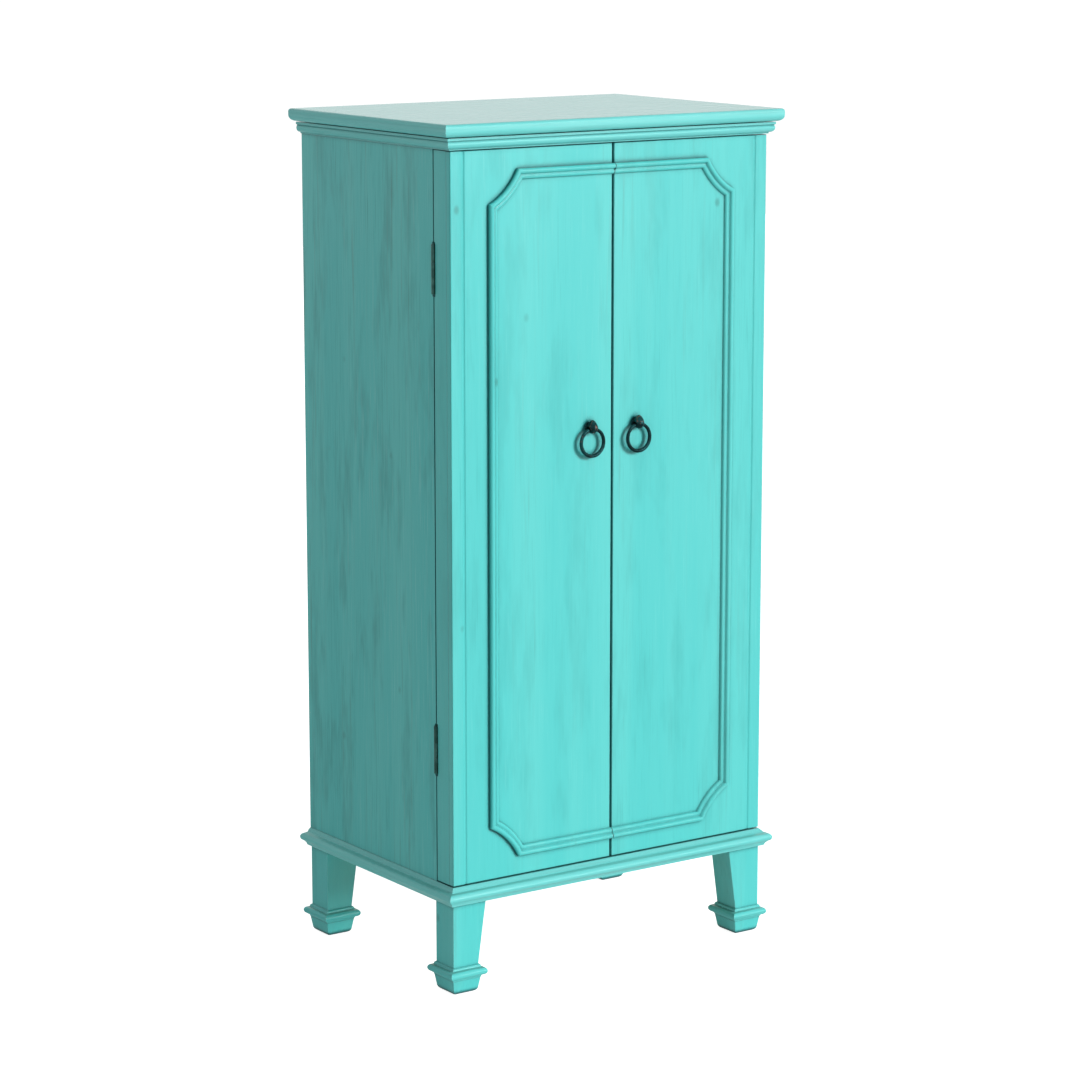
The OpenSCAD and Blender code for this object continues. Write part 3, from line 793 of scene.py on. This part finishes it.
def roll_sleeve(roll, centre, half_length, half_width, half_height):
    """A closed sleeve along X that narrows at its ends, and is a little uneven along its way."""
    stations = 56
    steps = 32
    straight = 0.93         # the share of its length that doesn't narrow
    narrowing = 0.07
    end_size = 0.4
    unevenness = 0.012
    roundness = 0.8         # 1 is an ellipse, and less is squarer
    empty_width = 0.95      # its size before it is filled
    empty_height = 0.96
    bm = bmesh.new()
    rings = []
    for s in range(stations + 1):
        share = -1 + 2 * s / stations
        end = max(0.0, (abs(share) - straight) / narrowing)
        shrink = math.sqrt(max(0.0, 1 - end ** 2)) * (1 - end_size) + end_size
        ring = []
        for k in range(steps):
            turn = 2 * math.pi * k / steps
            uneven = 1 + unevenness * math.sin(9 * share + 2.3 * roll) * math.cos(2 * turn)
            across = math.copysign(abs(math.cos(turn)) ** roundness, math.cos(turn))
            ring.append(bm.verts.new(centre + Vector((
                half_length * share,
                across * half_width * shrink * uneven * empty_width,
                math.sin(turn) * half_height * shrink * uneven * empty_height))))
        rings.append(ring)
    bridge(bm, rings)
    bm.faces.new(rings[0])
    bm.faces.new(rings[-1])
    return bm


def ring_rolls():
    """Velvet rolls side by side. Each is a sleeve, held along its bottom and at its ends, that is
    filled until it crowns and kept within its share of the tray."""
    low, high, middle = box_of("ring_rolls")
    tray_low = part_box("tray_front_rail")[1].y
    tray_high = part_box("back_panel")[0].y
    count = 10
    gap = 0.15 * MM         # half of what is left between two rolls
    frames = 14
    looseness = 0.06
    most = 1.5 * MM
    pitch = (tray_high - tray_low) / count
    half_width = pitch / 2 - gap
    half_height = (high.z - low.z) / 2
    half_length = (high.x - low.x) / 2
    seam_top = low.z + 0.25 * half_height
    free_length = 0.975 * half_length
    for roll in range(count):
        centre = Vector((middle.x, tray_low + (roll + 0.5) * pitch, low.z + half_height))
        bm = roll_sleeve(roll, centre, half_length, half_width, half_height)
        piece = make_piece(f"ring_roll_{roll + 1}", bm, "velvet", "cabinet", ["ring_rolls"], SOFT)
        sewn = [i for i, vertex in enumerate(piece.data.vertices)
                if vertex.co.z < seam_top or abs(vertex.co.x - middle.x) > free_length]
        swell(piece, sewn, frames, looseness, most)
        for vertex in piece.data.vertices:
            vertex.co.y = min(max(vertex.co.y, centre.y - half_width), centre.y + half_width)
            vertex.co.z = min(max(vertex.co.z, low.z), high.z)
        smooth = piece.modifiers.new("smooth", "SUBSURF")
        smooth.levels = 1
        smooth.render_levels = 1


ring_rolls()


# ---- Velvet linings ----

def rounded_loop(low, high, inset, corner, z):
    """A rectangle's outline with round corners, drawn in by inset."""
    smallest = 0.4 * MM
    radius = max(corner - inset, smallest)
    points = []
    for x, y, start in ((high.x, high.y, 0), (low.x, high.y, 90), (low.x, low.y, 180),
                        (high.x, low.y, 270)):
        middle = (x - math.copysign(inset + radius, x - (low.x + high.x) / 2),
                  y - math.copysign(inset + radius, y - (low.y + high.y) / 2))
        points += [Vector((a, b, z)) for a, b in arc(middle, radius, start, start + 90, 5)]
    return points


def tub_lining(name, body, low, high, wall):
    """One cut of velvet that covers a hollow's floor and goes up its four walls. low and high
    are the hollow's corners, and wall is how far up it goes."""
    fillet = 3 * MM
    corner = 4 * MM
    gap = 0.7 * MM
    flat = 6 * MM           # the band between the fillet and the face in the middle
    bm = bmesh.new()
    loops = [rounded_loop(low, high, gap, corner, low.z + wall)]
    loops += [rounded_loop(low, high, gap + fillet - a, corner, low.z + fillet + gap - b)
              for a, b in arc((0, 0), fillet, 0, 90, 4)]
    loops.append(rounded_loop(low, high, gap + fillet + flat, corner + fillet, low.z + gap))
    rings = [[bm.verts.new(point) for point in loop] for loop in loops]
    bridge(bm, rings)
    bm.faces.new(rings[-1])
    piece = make_piece(name, bm, "velvet", body, sharp=SOFT)
    thick = piece.modifiers.new("thickness", "SOLIDIFY")
    thick.thickness = 0.6 * MM
    thick.offset = 0


def drawer_lining(drawer):
    """A lining in the hollow behind the drawer's front. wall and floor are as in CAD."""
    box_low, box_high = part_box(f"{drawer}_box")
    wall = 8 * MM
    floor = 5 * MM
    inside_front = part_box(f"{drawer}_front")[1].y
    low = Vector((box_low.x + wall, inside_front, box_low.z + floor))
    high = Vector((box_high.x - wall, box_high.y - wall, box_high.z))
    covered = 0.92          # the share of the walls' height that the velvet covers
    tub_lining(f"{drawer}_lining", drawer, low, high, (high.z - low.z) * covered)


for drawer_name in DRAWERS:
    drawer_lining(drawer_name)


def tray_linings():
    """A lining in each of the three compartments beside the ring rolls."""
    divider_low, divider_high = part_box("tray_dividers")
    thickness = 6 * MM      # a divider's, as in CAD
    covered = 0.9
    x0 = divider_low.x + thickness
    x1 = divider_high.x
    depth = divider_high.y - divider_low.y
    third = (depth - 2 * thickness) / 3
    for i in range(3):
        y0 = divider_low.y + i * (third + thickness)
        low = Vector((x0, y0, divider_low.z))
        high = Vector((x1, y0 + third, divider_high.z))
        tub_lining(f"tray_lining_{i + 1}", "cabinet", low, high, (high.z - low.z) * covered)


tray_linings()


def door_lining(side):
    """Velvet stretched over a thin pad on the inside of the door."""
    low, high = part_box(f"{side}_door_lining")
    columns = 30
    rows = 96
    border = 9 * MM
    edge = 0.3 * MM
    crown = 0.9 * MM        # how much thicker the pad is inside its border
    bm = bmesh.new()
    rings = []
    for r in range(rows + 1):
        z = low.z + (high.z - low.z) * r / rows
        row = []
        for c in range(columns + 1):
            x = low.x + (high.x - low.x) * c / columns
            inside = min(x - low.x, high.x - x, z - low.z, high.z - z) / border
            rise = math.sin(min(1.0, inside) * math.pi / 2)
            row.append(bm.verts.new((x, low.y + edge + crown * rise, z)))
        rings.append(row)
    bridge(bm, rings, closed_rings=False)
    piece = make_piece(f"{side}_door_velvet", bm, "velvet", f"{side}_door",
                       [f"{side}_door_lining"], SOFT)
    thick = piece.modifiers.new("thickness", "SOLIDIFY")
    thick.thickness = 0.5 * MM


for side_name in SIDES:
    door_lining(side_name)


# ---- Floor, light and camera ----

FLOOR_HALF = 7.0
FLOOR_GLOW = 0.15
FLOOR_GLOW_SEEN = 0.9
WORLD_LIGHT = 0.287
WORLD_SEEN = 1.05


def make_stage():
    """A pale floor that glows a little, and more where the camera sees it."""
    bm = bmesh.new()
    bmesh.ops.create_grid(bm, x_segments=1, y_segments=1, size=FLOOR_HALF)
    mesh = bpy.data.meshes.new("floor")
    bm.to_mesh(mesh)
    bm.free()
    g = Graph("floor", {"Base Color": FLOOR_GREY, "Roughness": 0.9,
                        "Specular IOR Level": 0.1, "Emission Color": WHITE})
    path = g.add("ShaderNodeLightPath")
    glow = g.fade(path.outputs["Is Camera Ray"], 0.0, 1.0, FLOOR_GLOW, FLOOR_GLOW_SEEN)
    g.put(g.shader.inputs["Emission Strength"], glow)
    mesh.materials.append(g.material)
    floor = bpy.data.objects.new("floor", mesh)
    bpy.context.scene.collection.objects.link(floor)


def make_world():
    """White where it is seen and reflected, and dimmer as a light."""
    world = bpy.data.worlds.new("studio")
    world.use_nodes = True
    bpy.context.scene.world = world
    nodes = world.node_tree.nodes
    links = world.node_tree.links
    dim = nodes["Background"]
    dim.inputs["Color"].default_value = WHITE
    dim.inputs["Strength"].default_value = WORLD_LIGHT
    bright = nodes.new("ShaderNodeBackground")
    bright.inputs["Color"].default_value = WHITE
    bright.inputs["Strength"].default_value = WORLD_SEEN
    path = nodes.new("ShaderNodeLightPath")
    seen = nodes.new("ShaderNodeMath")
    seen.operation = "MAXIMUM"
    links.new(path.outputs["Is Camera Ray"], seen.inputs[0])
    links.new(path.outputs["Is Glossy Ray"], seen.inputs[1])
    mix = nodes.new("ShaderNodeMixShader")
    links.new(seen.outputs[0], mix.inputs[0])
    links.new(dim.outputs[0], mix.inputs[1])
    links.new(bright.outputs[0], mix.inputs[2])
    links.new(mix.outputs[0], nodes["World Output"].inputs["Surface"])


def make_light(name, around, up, strength, spread, diffuse=True, glossy=True):
    """A soft, far light. around is its angle from the front towards the right side and up its
    angle above the floor, in degrees, and spread is how wide it looks. Without diffuse, only
    reflections show it. Without glossy, no reflection does, and otherwise only a first one, so
    that the paint doesn't glare where it reflects the lid's mirror."""
    light = bpy.data.lights.new(name, "SUN")
    light.energy = strength
    light.angle = math.radians(spread)
    light.use_nodes = True
    nodes = light.node_tree.nodes
    path = nodes.new("ShaderNodeLightPath")
    once = nodes.new("ShaderNodeMath")
    once.operation = "LESS_THAN"
    once.inputs[1].default_value = 1.5      # the depth of a first reflection is 1
    light.node_tree.links.new(path.outputs["Glossy Depth"], once.inputs[0])
    light.node_tree.links.new(once.outputs[0], nodes["Emission"].inputs["Strength"])
    obj = bpy.data.objects.new(name, light)
    turn = math.radians(around)
    rise = math.radians(up)
    source = Vector((math.sin(turn) * math.cos(rise), -math.cos(turn) * math.cos(rise),
                     math.sin(rise)))
    obj.rotation_euler = (-source).to_track_quat("-Z", "Y").to_euler()
    obj.visible_diffuse = diffuse
    obj.visible_glossy = glossy
    bpy.context.scene.collection.objects.link(obj)


def make_camera():
    """Stands and points as fitted to the photo, without the photo's lens shift."""
    yaw = math.radians(34.908)
    down = math.radians(10.939)
    data = bpy.data.cameras.new("camera")
    data.sensor_width = 36.0
    data.lens = 115.6
    camera = bpy.data.objects.new("camera", data)
    camera.location = (-2.3643, -3.3954, 1.2938)
    ahead = Vector((math.sin(yaw) * math.cos(down), math.cos(yaw) * math.cos(down),
                    -math.sin(down)))
    camera.rotation_euler = ahead.to_track_quat("-Z", "Y").to_euler()
    bpy.context.scene.collection.objects.link(camera)
    bpy.context.scene.camera = camera


make_stage()
make_world()
# The key light's gloss comes from a lower and weaker light, to glare less on level tops.
make_light("key", around=28.0, up=18.0, strength=2.78, spread=20.0, glossy=False)
make_light("sheen", around=28.0, up=4.0, strength=0.8, spread=20.0, diffuse=False)
make_light("back_fill", around=172.0, up=12.0, strength=1.0, spread=30.0, glossy=False)
make_camera()
bpy.context.scene.view_settings.view_transform = "Standard"
